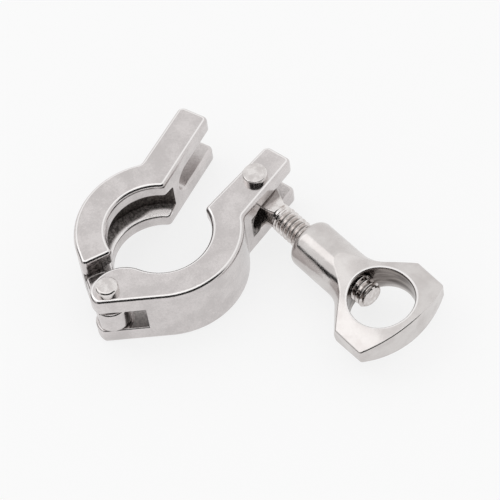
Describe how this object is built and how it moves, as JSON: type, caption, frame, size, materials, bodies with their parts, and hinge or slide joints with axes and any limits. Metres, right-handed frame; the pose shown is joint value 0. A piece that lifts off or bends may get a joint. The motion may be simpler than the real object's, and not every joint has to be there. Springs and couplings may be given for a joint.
{
  "type": "sanitary hinged clamp",
  "caption": "Small sanitary hinged clamp, cast stainless steel, standing open: two grooved half rings on a riveted hinge pin, a swing bolt and a wing nut with a finger hole",
  "frame": {"origin": "on the axis of the clamped ring, in the middle plane of its groove, half-way up the jaws", "axes": "+Z is the ring's axis and points up from the face the clamp lies on, +X points from the ring to the jaw with the swing bolt, +Y points from the ring to the two ears; the hinge is on -Y"},
  "size_m": [0.0798, 0.0558, 0.0176],
  "materials": {
    "cast_stainless": "cast stainless steel, tumbled satin with brighter rounded edges",
    "turned_stainless": "turned stainless steel, polished",
    "threaded_stainless": "stainless steel with a cut thread, bright",
    "nut_stainless": "cast stainless steel, satin polished"
  },
  "bodies": {
    "bolt_side": {"bolt_jaw": "cast_stainless", "hinge_pin": "turned_stainless", "bolt_pin": "turned_stainless"},
    "fork_side": {"fork_jaw": "cast_stainless"},
    "bolt": {"swing_bolt": "threaded_stainless"},
    "nut": {"wing_nut": "nut_stainless"}
  },
  "joints": [
    {"name": "jaw_hinge", "type": "hinge", "parent": "bolt_side", "child": "fork_side", "pos_m": [0, -0.0195, 0], "axis": [0, 0, 1], "range_deg": [-6.9, 180]},
    {"name": "bolt_swing", "type": "hinge", "parent": "bolt_side", "child": "bolt", "pos_m": [0.0082, 0.0234, 0], "axis": [0, 0, 1], "range_deg": [-18, 140]},
    {"name": "nut_travel", "type": "slide", "parent": "bolt", "child": "nut", "axis": [0.9799, -0.1994, 0], "range_m": [-0.005, 0.012]}
  ]
}
